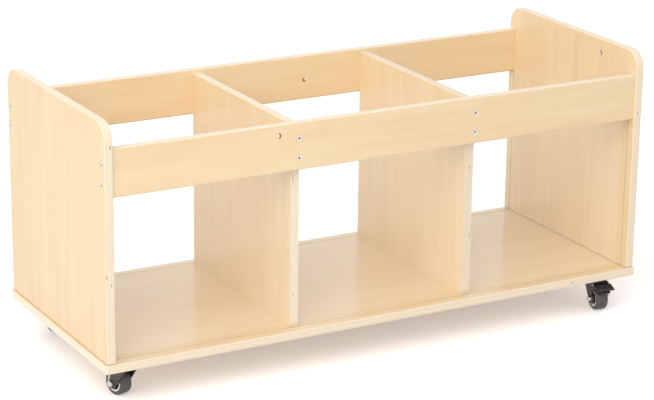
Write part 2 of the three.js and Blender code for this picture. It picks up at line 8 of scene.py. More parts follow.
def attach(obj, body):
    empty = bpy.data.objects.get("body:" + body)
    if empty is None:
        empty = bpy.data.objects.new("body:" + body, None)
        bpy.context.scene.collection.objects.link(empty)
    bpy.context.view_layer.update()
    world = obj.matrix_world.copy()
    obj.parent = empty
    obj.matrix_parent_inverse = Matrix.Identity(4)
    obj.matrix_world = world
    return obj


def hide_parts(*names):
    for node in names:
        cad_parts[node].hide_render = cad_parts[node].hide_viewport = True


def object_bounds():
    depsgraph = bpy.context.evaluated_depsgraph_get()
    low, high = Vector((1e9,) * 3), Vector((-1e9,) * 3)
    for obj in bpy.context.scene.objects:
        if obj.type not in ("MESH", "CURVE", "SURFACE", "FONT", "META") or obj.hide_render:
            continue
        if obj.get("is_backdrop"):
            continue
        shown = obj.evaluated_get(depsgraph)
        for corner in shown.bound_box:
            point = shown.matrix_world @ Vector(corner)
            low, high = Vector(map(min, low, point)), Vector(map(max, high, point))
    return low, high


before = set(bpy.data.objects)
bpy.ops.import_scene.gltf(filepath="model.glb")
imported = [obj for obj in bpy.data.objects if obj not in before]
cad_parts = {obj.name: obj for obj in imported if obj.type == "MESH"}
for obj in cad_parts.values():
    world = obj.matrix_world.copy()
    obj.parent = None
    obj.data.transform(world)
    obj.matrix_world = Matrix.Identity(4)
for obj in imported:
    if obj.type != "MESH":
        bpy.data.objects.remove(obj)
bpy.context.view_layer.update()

# The viewpoint: the bin is seen from its left front and from a little above, through a long lens
# that keeps its uprights almost parallel.
EYE = Vector((-2.18555, -3.86286, 1.69632))
YAW, PITCH, ROLL = -0.513556, 0.31339, 0.013561
FOCAL_PIXELS, IMAGE_PIXELS, SENSOR, FARTHEST = 2307.22, 654, 36.0, 100.0

sight = Vector((-sin(YAW) * cos(PITCH), cos(YAW) * cos(PITCH), -sin(PITCH)))
level = sight.cross(Vector((0, 0, 1))).normalized()
upright = level.cross(sight)
right = level * cos(ROLL) + upright * sin(ROLL)
up = upright * cos(ROLL) - level * sin(ROLL)
camera_data = bpy.data.cameras.new("viewpoint")
camera_data.sensor_width = SENSOR
camera_data.lens = SENSOR * FOCAL_PIXELS / IMAGE_PIXELS
camera_data.clip_end = FARTHEST
camera = bpy.data.objects.new("viewpoint", camera_data)
bpy.context.scene.collection.objects.link(camera)
turn = Matrix((right, up, -sight)).transposed()
camera.matrix_world = Matrix.Translation(EYE) @ turn.to_4x4()
bpy.context.scene.camera = camera

# Base board: one sheet of 18 mm birch plywood, its corners rounded in plan and every arris run over
# with a small router cutter. Its top is grooved for the clear sheets, and its underside is
# countersunk for the screws that come up into the uprights.
X, Y, Z = range(3)
BOARD = 0.018
ARRIS, ARRIS_STEPS = 0.0025, 4
BASE_LOW = Vector((-0.6, -0.233, 0.073))
BASE_HIGH = Vector((0.6, 0.233, 0.091))
BASE_CORNER, CORNER_STEPS = 0.006, 8
SHEET_MIDDLE = 0.2107
GROOVE_HALF, GROOVE_DEPTH = 0.0018, 0.005
PANEL_INNER = 0.578
DIVIDER_X = 0.195667
HEAD_RADIUS, HEAD_DEPTH, HEAD_FACETS = 0.0051, 0.0032, 40
SHANK_RADIUS = 0.0024
SINK_PLAY, SINK_OUT = 0.0003, 0.0006
FOOT_X = (-0.587, -DIVIDER_X, DIVIDER_X, 0.587)
FOOT_Y = (-0.159, 0.0, 0.159)
PAST = 0.01
SHARP = radians(50)


def start_fresh():
    if bpy.context.mode != "OBJECT":
        bpy.ops.object.mode_set(mode="OBJECT")
    bpy.ops.object.select_all(action="DESELECT")


def take(made):
    """Makes a piece the only one selected."""
    start_fresh()
    made.select_set(True)
    bpy.context.view_layer.objects.active = made


def settle(made):
    """Puts the piece's place, turn and size into its mesh."""
    take(made)
    bpy.ops.object.transform_apply(location=True, rotation=True, scale=True)
    return made


def named(name):
    made = bpy.context.object
    made.name = made.data.name = name
    return made


def block(name, low, high):
    start_fresh()
    low, high = Vector(low), Vector(high)
    bpy.ops.mesh.primitive_cube_add(size=1, location=(low + high) / 2)
    made = named(name)
    made.scale = high - low
    return settle(made)


def pick(made, edges=None, faces=None):
    """Goes into edit mode with only those edges or faces selected that pass the test."""
    take(made)
    bpy.ops.object.mode_set(mode="EDIT")
    bpy.ops.mesh.select_mode(type="EDGE" if edges else "FACE")
    bpy.ops.mesh.select_all(action="DESELECT")
    shape = bmesh.from_edit_mesh(made.data)
    for item in shape.edges if edges else shape.faces:
        if (edges or faces)(item):
            item.select_set(True)
    bmesh.update_edit_mesh(made.data)


def round_over(made, edges, radius, steps):
    pick(made, edges=edges)
    bpy.ops.mesh.bevel(
        offset=radius, offset_type="OFFSET", segments=steps, affect="EDGES", profile=0.5
    )
    bpy.ops.object.mode_set(mode="OBJECT")


def runs_along(edge, axis):
    line = edge.verts[1].co - edge.verts[0].co
    return abs(line[axis]) > 0.999 * line.length


def is_sharp(edge):
    return len(edge.link_faces) == 2 and edge.calc_face_angle() > SHARP


def modify(made, kind, **settings):
    take(made)
    step = made.modifiers.new(kind.lower(), kind)
    for key, value in settings.items():
        setattr(step, key, value)
    bpy.ops.object.modifier_apply(modifier=step.name)


def joined(pieces):
    start_fresh()
    for one in pieces:
        one.select_set(True)
    bpy.context.view_layer.objects.active = pieces[0]
    if len(pieces) > 1:
        bpy.ops.object.join()
    return pieces[0]


def cut(made, cutters, operation="DIFFERENCE"):
    tool = joined(cutters)
    modify(made, "BOOLEAN", operation=operation, object=tool, solver="EXACT")
    bpy.data.objects.remove(tool)


def smooth(made, angle=32):
    take(made)
    bpy.ops.object.shade_smooth_by_angle(angle=radians(angle))
    modify(made, "WEIGHTED_NORMAL", mode="FACE_AREA", weight=100, keep_sharp=True)


def aimed(made, place, inwards):
    """Stands a piece at a place, with its upright axis turned into a direction."""
    made.rotation_mode = "QUATERNION"
    made.rotation_quaternion = Vector((0, 0, 1)).rotation_difference(Vector(inwards))
    made.location = place
    return settle(made)


def countersink(place, inwards):
    """A cutter for a screw head whose face is flush at this place."""
    start_fresh()
    mouth, depth = HEAD_RADIUS + SINK_PLAY, HEAD_DEPTH + SINK_PLAY
    slope = (mouth - SHANK_RADIUS) / HEAD_DEPTH
    bpy.ops.mesh.primitive_cone_add(
        vertices=HEAD_FACETS,
        radius1=mouth + slope * SINK_OUT,
        radius2=mouth - slope * depth,
        depth=SINK_OUT + depth,
    )
    middle = Vector(place) + Vector(inwards) * (depth - SINK_OUT) / 2
    return aimed(named("countersink"), middle, inwards)


def fixed(piece, body, slot, *nodes):
    """Lets a piece move with its body and stand for its solids, whose parts it hides; slot is not
    used.
    """
    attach(piece, body)
    if nodes:
        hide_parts(*nodes)


def dressed(piece, *materials):
    piece.data.materials.clear()
    for one in materials:
        piece.data.materials.append(one)


base = block("plywood_base", BASE_LOW, BASE_HIGH)
round_over(base, lambda e: runs_along(e, Z), BASE_CORNER, CORNER_STEPS)
round_over(base, is_sharp, ARRIS, ARRIS_STEPS)
tools = []
for face in (-1, 1):
    middle = face * SHEET_MIDDLE
    tools.append(
        block(
            "groove",
            (-PANEL_INNER - GROOVE_DEPTH, middle - GROOVE_HALF, BASE_HIGH.z - GROOVE_DEPTH),
            (PANEL_INNER + GROOVE_DEPTH, middle + GROOVE_HALF, BASE_HIGH.z + PAST),
        )
    )
tools += [countersink((x, y, BASE_LOW.z), (0, 0, 1)) for x in FOOT_X for y in FOOT_Y]
cut(base, tools)
smooth(base)


class Finish:
    """A material whose node tree is wired up one step at a time."""

    def __init__(self, name):
        self.material = bpy.data.materials.new(name)
        self.material.use_nodes = True
        self.tree = self.material.node_tree
        self.surface = self.tree.nodes["Principled BSDF"]
        self.place = self.add("ShaderNodeTexCoord").outputs["Object"]

    def add(self, kind, **settings):
        node = self.tree.nodes.new(kind)
        for key, value in settings.items():
            setattr(node, key, value)
        return node

    def feed(self, socket, value):
        if isinstance(value, bpy.types.NodeSocket):
            self.tree.links.new(value, socket)
        else:
            socket.default_value = value

    def math(self, operation, *values):
        node = self.add("ShaderNodeMath", operation=operation)
        for socket, value in zip(node.inputs, values):
            self.feed(socket, value)
        return node.outputs[0]

    def ramp(self, value, low, high, to_low=0.0, to_high=1.0):
        node = self.add("ShaderNodeMapRange", interpolation_type="SMOOTHSTEP", clamp=True)
        for socket, given in zip(node.inputs, (value, low, high, to_low, to_high)):
            self.feed(socket, given)
        return node.outputs[0]

    def stretched(self, scale, shift=(0, 0, 0)):
        node = self.add("ShaderNodeMapping")
        self.feed(node.inputs["Vector"], self.place)
        node.inputs["Scale"].default_value = scale
        node.inputs["Location"].default_value = shift
        return node.outputs[0]

    def noise(self, vector, detail, rough=0.55, warp=0.0):
        node = self.add("ShaderNodeTexNoise")
        self.feed(node.inputs["Vector"], vector)
        settings = {"Scale": 1.0, "Detail": detail, "Roughness": rough, "Distortion": warp}
        for key, value in settings.items():
            node.inputs[key].default_value = value
        return node.outputs["Fac"]

    def speckle(self, per_metre, detail, rough=0.55, shift=(0, 0, 0)):
        """A noise that is as fine in one direction as in another."""
        return self.noise(self.stretched((per_metre,) * 3, shift), detail, rough)

    def blend(self, share, first, second):
        node = self.add("ShaderNodeMix", data_type="RGBA")
        sockets = [s for s in node.inputs if s.enabled]
        for socket, value in zip(sockets, (share, first, second)):
            self.feed(socket, value if not isinstance(value, tuple) else (*value, 1.0))
        return next(s for s in node.outputs if s.enabled)

    def bump(self, height, strength, distance):
        node = self.add("ShaderNodeBump")
        self.feed(node.inputs["Height"], height)
        node.inputs["Strength"].default_value = strength
        node.inputs["Distance"].default_value = distance
        self.feed(self.surface.inputs["Normal"], node.outputs[0])

    def set(self, **values):
        for key, value in values.items():
            socket = key.replace("_", " ").title().replace("Ior", "IOR")
            self.feed(self.surface.inputs[socket], value)

    def spot(self, centre, reach):
        """1 inside a small oval at a place, 0 outside it."""
        away = self.add("ShaderNodeVectorMath", operation="SUBTRACT")
        self.feed(away.inputs[0], self.place)
        away.inputs[1].default_value = centre
        share = self.add("ShaderNodeVectorMath", operation="DIVIDE")
        self.feed(share.inputs[0], away.outputs[0])
        share.inputs[1].default_value = reach
        length = self.add("ShaderNodeVectorMath", operation="LENGTH")
        self.feed(length.inputs[0], share.outputs[0])
        return self.ramp(length.outputs["Value"], 0.6, 1.0, to_low=1.0, to_high=0.0)


FACE_VENEER, VENEER_BLUR, PLIES = 0.0008, 5e-5, 9
VENEER_PALE = (0.90, 0.725, 0.475)
VENEER_DEEP = (0.80, 0.585, 0.345)
FLECK = (0.62, 0.41, 0.215)
PLY_LONG = (0.92, 0.82, 0.65)
PLY_END = (0.84, 0.70, 0.51)
GLUE = (0.62, 0.46, 0.29)
# Painted shade: the dark inside small voids in the cut plies, which are not cut.
HOLLOW_SHADE = (0.09, 0.052, 0.026)
# Painted shade: the dark crescent round each small hole in a face, which is not cut.
HOLE_SHADE = (0.17, 0.085, 0.032)
STREAKS_PER_METRE, BROAD_PER_METRE = (2.2, 30.0), (1.6, 5.0)
FIBRES_PER_METRE, FLECKS_PER_METRE, PORES_PER_METRE = (26.0, 900.0), (55.0, 620.0), 420.0
STREAK_SHARE, BROAD_SHARE, FIBRE_SHARE, FLECK_SHARE = 0.62, 0.38, 0.16, 0.10
TONE_PALE, TONE_DEEP = 0.2, 0.82
# Size and share of each painted hole's pale spot, a painted highlight, and share of its dark crescent
# of painted shade.
HIGHLIGHT_SIZE, HIGHLIGHT_SHARE, HOLE_SHADE_SHARE = 0.85, 0.6, 0.95
PLY_SHARE, PORE_SHARE, SEAM_SHARE, SEAM_RELIEF = 0.3, 0.18, 0.25, 0.8
LACQUER_SMOOTH, LACQUER_ROUGH, COAT_ROUGH, LACQUER_SHEEN = 0.34, 0.46, 0.14, 0.4


def plywood(
    name, across, along, low, shift, gloss=0.2, deep=0.0, mellow=0.0, painted_holes=(), hollows=()
):
    """Birch plywood all through: the face veneers where the board is whole, and the stack of plies
    wherever it is cut or rounded. across is the axis through the board, along that of its grain,
    deep makes one board darker than the next, and mellow yellows its cut edges."""
    wood = Finish(name)
    axes = wood.add("ShaderNodeSeparateXYZ")
    wood.feed(axes.inputs[0], wood.place)
    depth = wood.math("SUBTRACT", axes.outputs[across], low)
    ply = (BOARD - 2 * FACE_VENEER) / PLIES
    layer = wood.math("DIVIDE", wood.math("SUBTRACT", depth, FACE_VENEER), ply)
    number = wood.math("FLOOR", layer)
    within = wood.math("FRACT", layer)
    from_middle = wood.math("ABSOLUTE", wood.math("SUBTRACT", depth, BOARD / 2))
    veneer = BOARD / 2 - FACE_VENEER
    core = wood.ramp(from_middle, veneer + VENEER_BLUR, veneer - VENEER_BLUR)

    def grain(per_metre):
        with_it, against_it = per_metre
        scale = tuple(with_it if axis == along else against_it for axis in range(3))
        return wood.stretched(scale, shift)

    streaks = wood.noise(grain(STREAKS_PER_METRE), detail=5, rough=0.6, warp=1.1)
    broad = wood.noise(grain(BROAD_PER_METRE), detail=3, warp=0.8)
    fibres = wood.noise(grain(FIBRES_PER_METRE), detail=3)
    flecks = wood.noise(grain(FLECKS_PER_METRE), detail=1)
    tone = wood.math(
        "ADD",
        wood.math("MULTIPLY", streaks, STREAK_SHARE),
        wood.math("MULTIPLY", broad, BROAD_SHARE),
    )
    face = wood.blend(wood.ramp(tone, TONE_PALE - deep, TONE_DEEP - deep), VENEER_PALE, VENEER_DEEP)
    face = wood.blend(wood.ramp(fibres, 0.35, 0.75, to_high=FIBRE_SHARE), face, VENEER_DEEP)
    face = wood.blend(wood.ramp(flecks, 0.66, 0.74, to_high=FLECK_SHARE), face, FLECK)
    # Each of these marks paints a small hole that is not cut: a dark crescent of painted shade round a
    # pale spot of painted highlight, set off to the lit side.
    for centre, reach, highlight_offset in painted_holes:
        painted_highlight = wood.spot(Vector(centre) + Vector(highlight_offset), [HIGHLIGHT_SIZE * r for r in reach])
        face = wood.blend(wood.math("MULTIPLY", painted_highlight, HIGHLIGHT_SHARE), face, PLY_LONG)
        painted_hole_shade = wood.math("MULTIPLY", wood.spot(centre, reach), wood.math("SUBTRACT", 1.0, painted_highlight))
        face = wood.blend(wood.math("MULTIPLY", painted_hole_shade, HOLE_SHADE_SHARE), face, HOLE_SHADE)

    parity = wood.math("MULTIPLY", wood.math("FRACT", wood.math("DIVIDE", number, 2.0)), 2.0)
    cut_face = wood.blend(parity, PLY_LONG, PLY_END)
    shade = wood.add("ShaderNodeTexWhiteNoise", noise_dimensions="1D")
    wood.feed(shade.inputs["W"], number)
    shaded = wood.math("MULTIPLY", shade.outputs["Value"], PLY_SHARE)
    cut_face = wood.blend(shaded, cut_face, PLY_END)
    pores = wood.speckle(PORES_PER_METRE, detail=3, shift=shift)
    cut_face = wood.blend(wood.ramp(pores, 0.45, 0.75, to_high=PORE_SHARE), cut_face, GLUE)
    cut_face = wood.blend(mellow, cut_face, GLUE)
    seam = wood.ramp(wood.math("ABSOLUTE", wood.math("SUBTRACT", within, 0.5)), 0.40, 0.49)
    cut_face = wood.blend(wood.math("MULTIPLY", seam, SEAM_SHARE), cut_face, GLUE)
    # Painted shade: each small void in the cut plies is only a dark spot, not a recess.
    for centre, reach in hollows:
        cut_face = wood.blend(wood.spot(centre, reach), cut_face, HOLLOW_SHADE)

    wood.set(
        base_color=wood.blend(core, face, cut_face),
        roughness=wood.ramp(fibres, 0.3, 0.8, to_low=LACQUER_SMOOTH, to_high=LACQUER_ROUGH),
        coat_weight=gloss,
        coat_roughness=COAT_ROUGH,
        specular_ior_level=LACQUER_SHEEN,
    )
    open_seam = wood.math("MULTIPLY", wood.math("MULTIPLY", seam, core), SEAM_RELIEF)
    wood.bump(wood.math("SUBTRACT", fibres, open_seam), strength=0.09, distance=0.0002)
    return wood.material


# Painted shade of a small void in the base's cut edge; no void is cut.
base_hollows = [((0.4434, -0.2330, 0.0815), (0.005, 0.002, 0.0009))]
base_shift = (0.3, 1.7, 0.0)
dressed(
    base,
    plywood("base_plywood", Z, X, BASE_LOW.z, base_shift, gloss=0.8, deep=0.1, hollows=base_hollows),
)
fixed(base, "carcass", "birch_plywood", "base_board")

# Side panels: two uprights of the same plywood that stand on the base, taller than the rest, with
# their top corners swept round. They are grooved inside for the sheets and drilled for the rails.
PANEL_OUTER = 0.596
PANEL_HALF = 0.231
PANEL_FOOT, PANEL_TOP = 0.0912, 0.553
PANEL_SWEEP, SWEEP_STEPS = 0.035, 14
SHEET_TOP = 0.4215
SCREW_LEVELS = (0.474, 0.4355)
RAIL_MIDDLE = 0.218

left_panel = block(
    "left_plywood_end", (-PANEL_OUTER, -PANEL_HALF, PANEL_FOOT), (-PANEL_INNER, PANEL_HALF, PANEL_TOP)
)
round_over(
    left_panel,
    lambda e: runs_along(e, X) and e.verts[0].co.z > PANEL_TOP - PANEL_SWEEP,
    PANEL_SWEEP,
    SWEEP_STEPS,
)
round_over(left_panel, is_sharp, ARRIS, ARRIS_STEPS)
tools = []
for face in (-1, 1):
    middle = face * SHEET_MIDDLE
    tools.append(
        block(
            "groove",
            (-PANEL_INNER - GROOVE_DEPTH, middle - GROOVE_HALF, PANEL_FOOT - PAST),
            (-PANEL_INNER + PAST, middle + GROOVE_HALF, SHEET_TOP),
        )
    )
for y in (-RAIL_MIDDLE, RAIL_MIDDLE):
    tools += [countersink((-PANEL_OUTER, y, z), (1, 0, 0)) for z in SCREW_LEVELS]
cut(left_panel, tools)
smooth(left_panel)


def duplicate(piece, name):
    """A piece's copy with a mesh of its own."""
    made = piece.copy()
    made.data = piece.data.copy()
    made.name = made.data.name = name
    bpy.context.scene.collection.objects.link(made)
    return made


def copied(piece, name, turn=0.0, move=(0, 0, 0)):
    """A piece's copy, turned about the upright axis and moved."""
    made = duplicate(piece, name)
    made.rotation_euler = (0, 0, turn)
    made.location = move
    return settle(made)


right_panel = copied(left_panel, "right_plywood_end", turn=pi)
# The spots on the panels' cut edges are painted shade of small voids; no void is cut.
left_hollows = [
    ((-0.5835, -0.231, 0.5085), (0.0009, 0.003, 0.006)),
    ((-0.5945, -0.231, 0.263), (0.0008, 0.003, 0.004)),
    ((-0.585, -0.231, 0.246), (0.0008, 0.003, 0.004)),
]
# The mark on this panel's inner face is painted shade and highlight of a small hole; no hole is cut.
right_painted_holes = [((0.578, -0.1061, 0.5236), (0.003, 0.0062, 0.0062), (0.0, 0.0032, -0.0012))]
right_hollows = [((0.586, -0.231, 0.426), (0.0009, 0.003, 0.004))]
for piece, end, low, shift, deep, painted_holes, hollows in (
    (left_panel, "left", -PANEL_OUTER, (2.1, 0.4, 0.2), 0.1, (), left_hollows),
    (right_panel, "right", PANEL_INNER, (0.9, 3.3, 1.4), -0.05, right_painted_holes, right_hollows),
):
    name = f"{end}_panel_plywood"
    dressed(piece, plywood(name, X, Z, low, shift, deep=deep, painted_holes=painted_holes, hollows=hollows))
    fixed(piece, "carcass", "birch_plywood", f"{end}_side_panel")

# Dividers: two upright boards between the rails, which part the trough into three bays. Only
# their top edges are rounded, and they stand just below the rails' tops.
DIVIDER_HALF_DEPTH = 0.2088
DIVIDER_TOP = 0.4985
DIVIDER_DEEP = -0.08

left_divider = block(
    "left_plywood_divider",
    (-DIVIDER_X - BOARD / 2, -DIVIDER_HALF_DEPTH, PANEL_FOOT),
    (-DIVIDER_X + BOARD / 2, DIVIDER_HALF_DEPTH, DIVIDER_TOP),
)
round_over(
    left_divider,
    lambda e: runs_along(e, Y) and e.verts[0].co.z > DIVIDER_TOP - BOARD,
    ARRIS,
    ARRIS_STEPS,
)
smooth(left_divider)
right_divider = copied(left_divider, "right_plywood_divider", move=(2 * DIVIDER_X, 0, 0))
# The spots on the dividers' cut edges are painted shade of small voids; no void is cut.
left_divider_hollows = [
    ((-0.1996, -0.2088, 0.3935), (0.0006, 0.002, 0.015)),
    ((-0.1975, -0.2088, 0.158), (0.0008, 0.002, 0.004)),
]
right_divider_hollows = [
    ((0.1964, -0.2088, 0.357), (0.0007, 0.002, 0.005)),
    ((0.2016, -0.2088, 0.216), (0.0009, 0.002, 0.007)),
]
for piece, node, x, shift, mellow, hollows in (
    (left_divider, "left_divider", -DIVIDER_X, (0.2, 5.1, 0.6), 0.0, left_divider_hollows),
    (right_divider, "right_divider", DIVIDER_X, (4.2, 1.9, 0.3), 0.22, right_divider_hollows),
):
    name, low = f"{node}_plywood", x - BOARD / 2
    dressed(
        piece, plywood(name, X, Z, low, shift, deep=DIVIDER_DEEP, mellow=mellow, hollows=hollows)
    )
    fixed(piece, "carcass", "birch_plywood", node)

# Rails: the two long boards at the top of the trough, let in between the side panels and screwed
# to the dividers. Their long edges are rounded, and a slot from below, just behind the veneer of the
# inner face, hides the top of each sheet.
RAIL_END = 0.5778
RAIL_OUTER, RAIL_INNER = 0.227, 0.209
RAIL_BOTTOM, RAIL_TOP = 0.4115, 0.5045
SLOT_OUTER, SLOT_INNER = 0.2125, 0.2091

front_rail = block(
    "front_plywood_rail", (-RAIL_END, -RAIL_OUTER, RAIL_BOTTOM), (RAIL_END, -RAIL_INNER, RAIL_TOP)
)
round_over(front_rail, lambda e: runs_along(e, X), ARRIS, ARRIS_STEPS)
slot_end = RAIL_END + PAST
tools = [
    block("slot", (-slot_end, -SLOT_OUTER, RAIL_BOTTOM - PAST), (slot_end, -SLOT_INNER, SHEET_TOP))
]
for x in (-DIVIDER_X, DIVIDER_X):
    tools += [countersink((x, -RAIL_OUTER, z), (0, 1, 0)) for z in SCREW_LEVELS]
cut(front_rail, tools)
smooth(front_rail)
back_rail = copied(front_rail, "back_plywood_rail", turn=pi)
# The marks on the rails are painted shade and highlight of small holes; no hole is cut.
front_painted_holes = [((-0.2385, -0.227, 0.4840), (0.0052, 0.003, 0.0066), (-0.0028, 0.0, 0.0))]
back_painted_holes = [((0.0532, 0.209, 0.4532), (0.0056, 0.003, 0.0056), (0.0030, 0.0, 0.0014))]
for piece, node, low, shift, painted_holes in (
    (front_rail, "front_rail", -RAIL_OUTER, (1.3, 0.2, 2.7), front_painted_holes),
    (back_rail, "back_rail", RAIL_INNER, (3.6, 2.2, 0.9), back_painted_holes),
):
    dressed(piece, plywood(f"{node}_plywood", Y, X, low, shift, painted_holes=painted_holes))
    fixed(piece, "carcass", "birch_plywood", node)

# Clear sheets: 3 mm polished acrylic that closes the bays at the front and back below the rails,
# slid into grooves in the base and the side panels.
ACRYLIC_TINT, ACRYLIC_INDEX = (0.985, 0.995, 0.99, 1.0), 1.49
WIPES_PER_METRE, WIPE_ROUGH = (7.0, 7.0, 2.5), 0.02

acrylic = Finish("clear_acrylic")
wipes = acrylic.noise(acrylic.stretched(WIPES_PER_METRE), detail=3)
acrylic.set(
    base_color=ACRYLIC_TINT,
    transmission_weight=1.0,
    ior=ACRYLIC_INDEX,
    roughness=acrylic.ramp(wipes, 0.4, 0.75, to_high=WIPE_ROUGH),
)
way = acrylic.add("ShaderNodeLightPath").outputs
pane = acrylic.add("ShaderNodeMixShader")
acrylic.feed(pane.inputs[0], acrylic.math("MAXIMUM", way["Is Shadow Ray"], way["Is Diffuse Ray"]))
acrylic.feed(pane.inputs[1], acrylic.surface.outputs[0])
acrylic.feed(pane.inputs[2], acrylic.add("ShaderNodeBsdfTransparent").outputs[0])
acrylic.feed(acrylic.tree.nodes["Material Output"].inputs["Surface"], pane.outputs[0])
for node in ("front_clear_sheet", "back_clear_sheet"):
    dressed(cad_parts[node], acrylic.material)

# Screws: bright zinc countersunk screws with a hexagon socket, two through each rail into each
# divider, two through each side panel into each rail, and three up into the foot of each upright.
SCREW_LENGTH, POINT_LENGTH, POINT_SHARE = 0.048, 0.008, 0.15
HEAD_EASE, HEAD_SUNK = 0.0003, 0.0001
SOCKET_RADIUS, SOCKET_DEPTH = 0.0023, 0.0046
# Painted shade: the near-black colours inside the hexagon socket stand for the shade in its recess.
SOCKET_SHADE, SOCKET_SHADE_FLECKED = (0.035, 0.034, 0.034), (0.075, 0.07, 0.066)
ZINC_BRIGHT, ZINC_DULL = (0.72, 0.73, 0.73), (0.58, 0.585, 0.575)
RAIL_FACES = (("front_rail", -RAIL_OUTER, (0, 1, 0)), ("back_rail", RAIL_OUTER, (0, -1, 0)))
END_FACES = (("left", -PANEL_OUTER, (1, 0, 0)), ("right", PANEL_OUTER, (-1, 0, 0)))
NEAR = 1e-5

start_fresh()
bpy.ops.mesh.primitive_cone_add(
    vertices=HEAD_FACETS,
    radius1=HEAD_RADIUS,
    radius2=SHANK_RADIUS,
    depth=HEAD_DEPTH,
    location=(0, 0, HEAD_DEPTH / 2),
)
screw = settle(named("screw"))
pick(screw, faces=lambda f: f.normal.z > 0.9)
for rise in (SCREW_LENGTH - HEAD_DEPTH - POINT_LENGTH, POINT_LENGTH):
    bpy.ops.mesh.extrude_region_move(TRANSFORM_OT_translate={"value": (0, 0, rise)})
bpy.ops.transform.resize(
    value=(POINT_SHARE, POINT_SHARE, 1), center_override=(0, 0, SCREW_LENGTH)
)
bpy.ops.object.mode_set(mode="OBJECT")
round_over(screw, lambda e: max(v.co.z for v in e.verts) < NEAR, HEAD_EASE, 2)
start_fresh()
bpy.ops.mesh.primitive_cylinder_add(vertices=6, radius=SOCKET_RADIUS, depth=2 * SOCKET_DEPTH)
cut(screw, [settle(named("socket"))])

# The socket's faces get a near-black finish that paints the shade inside the recess, flecked a little
# lighter here and there.
socket_painted_shade = Finish("socket_painted_shade")
shade_flecks = socket_painted_shade.speckle(per_metre=700.0, detail=3)
socket_painted_shade.set(
    base_color=socket_painted_shade.blend(shade_flecks, SOCKET_SHADE, SOCKET_SHADE_FLECKED),
    roughness=socket_painted_shade.ramp(shade_flecks, 0.3, 0.7, to_low=0.45, to_high=0.65),
)
zinc = Finish("bright_zinc")
swirl = zinc.speckle(per_metre=500.0, detail=3)
zinc.set(
    base_color=zinc.blend(zinc.ramp(swirl, 0.35, 0.7), ZINC_BRIGHT, ZINC_DULL),
    metallic=1.0,
    roughness=zinc.ramp(swirl, 0.3, 0.7, to_low=0.24, to_high=0.4),
)
zinc.bump(swirl, strength=0.08, distance=0.0001)
dressed(screw, zinc.material, socket_painted_shade.material)
pick(screw, faces=lambda f: max(Vector(v.co.xy).length for v in f.verts) < SOCKET_RADIUS + NEAR)
screw.active_material_index = 1
bpy.ops.object.material_slot_assign()
bpy.ops.object.mode_set(mode="OBJECT")
smooth(screw)


def driven(name, place, inwards, *nodes):
    sunk = Vector(place) + HEAD_SUNK * Vector(inwards)
    made = aimed(duplicate(screw, name), sunk, inwards)
    fixed(made, "carcass", "zinc_plated_steel", *nodes)


for rank, x in enumerate((-DIVIDER_X, DIVIDER_X)):
    for row, z in enumerate(SCREW_LEVELS):
        number = 2 * rank + row + 1
        for rail, y, inwards in RAIL_FACES:
            driven(f"{rail}_fixing_{number}", (x, y, z), inwards, f"{rail}_screw_{number}")
for rank, y in enumerate((-RAIL_MIDDLE, RAIL_MIDDLE)):
    for row, z in enumerate(SCREW_LEVELS):
        number = 2 * rank + row + 1
        for end, x, inwards in END_FACES:
            driven(f"{end}_end_fixing_{number}", (x, y, z), inwards, f"{end}_panel_screw_{number}")
for column, x in enumerate(FOOT_X):
    for row, y in enumerate(FOOT_Y):
        driven(f"foot_screw_{3 * column + row + 1}", (x, y, BASE_LOW.z), (0, 0, 1))
bpy.data.objects.remove(screw)

# Castor plates: square pressed-steel plates, painted black, each held up to the base by four
# pan-head screws and carrying a boss that the ball race runs round.
CASTORS = (
    ("front_left", -0.536, -0.180, 106, True),
    ("front_right", 0.536, -0.180, 260, True),
    ("back_left", -0.536, 0.180, 34, False),
    ("back_right", 0.536, 0.180, 72, False),
)
PLATE_HALF, PLATE_CORNER, PLATE_EASE = 0.030, 0.007, 0.0006
PLATE_LOW, PLATE_HIGH = 0.0703, 0.0728
PLATE_SCREW_AT = 0.023
PAN_RADIUS, PAN_HEIGHT, PAN_ROOT, PAN_ROUND = 0.0042, 0.0024, 0.0005, 0.0014
CROSS_LONG, CROSS_WIDE, CROSS_DEEP = 0.0021, 0.0005, 0.0013
BOSS_RADIUS, BOSS_FOOT = 0.0118, 0.06595
PAINT_BLACK, PAINT_SCUFFED = (0.022, 0.019, 0.017), (0.06, 0.05, 0.043)
SCUFFS_PER_METRE = (140.0, 140.0, 60.0)


def disc(name, radius, low, high, facets=64):
    """A round bar that stands on the castor's swivel axis."""
    start_fresh()
    bpy.ops.mesh.primitive_cylinder_add(
        vertices=facets, radius=radius, depth=high - low, location=(0, 0, (low + high) / 2)
    )
    return settle(named(name))


plate = block("plate", (-PLATE_HALF, -PLATE_HALF, PLATE_LOW), (PLATE_HALF, PLATE_HALF, PLATE_HIGH))
round_over(plate, lambda e: runs_along(e, Z), PLATE_CORNER, 6)
round_over(plate, is_sharp, PLATE_EASE, 2)
boss = disc("boss", BOSS_RADIUS, BOSS_FOOT, (PLATE_LOW + PLATE_HIGH) / 2)
cut(plate, [boss], "UNION")
smooth(plate)

pan_foot = PLATE_LOW - PAN_HEIGHT
pans = []
for x in (-PLATE_SCREW_AT, PLATE_SCREW_AT):
    for y in (-PLATE_SCREW_AT, PLATE_SCREW_AT):
        pan = disc("pan", PAN_RADIUS, pan_foot, PLATE_LOW + PAN_ROOT, 32)
        round_over(pan, lambda e: max(v.co.z for v in e.verts) < pan_foot + NEAR, PAN_ROUND, 4)
        for half_x, half_y in ((CROSS_LONG, CROSS_WIDE), (CROSS_WIDE, CROSS_LONG)):
            low = (-half_x, -half_y, pan_foot - CROSS_DEEP)
            cut(pan, [block("slot", low, (half_x, half_y, pan_foot + CROSS_DEEP))])
        pan.location = (x, y, 0)
        pans.append(settle(pan))
plate_screws = joined(pans)
smooth(plate_screws)

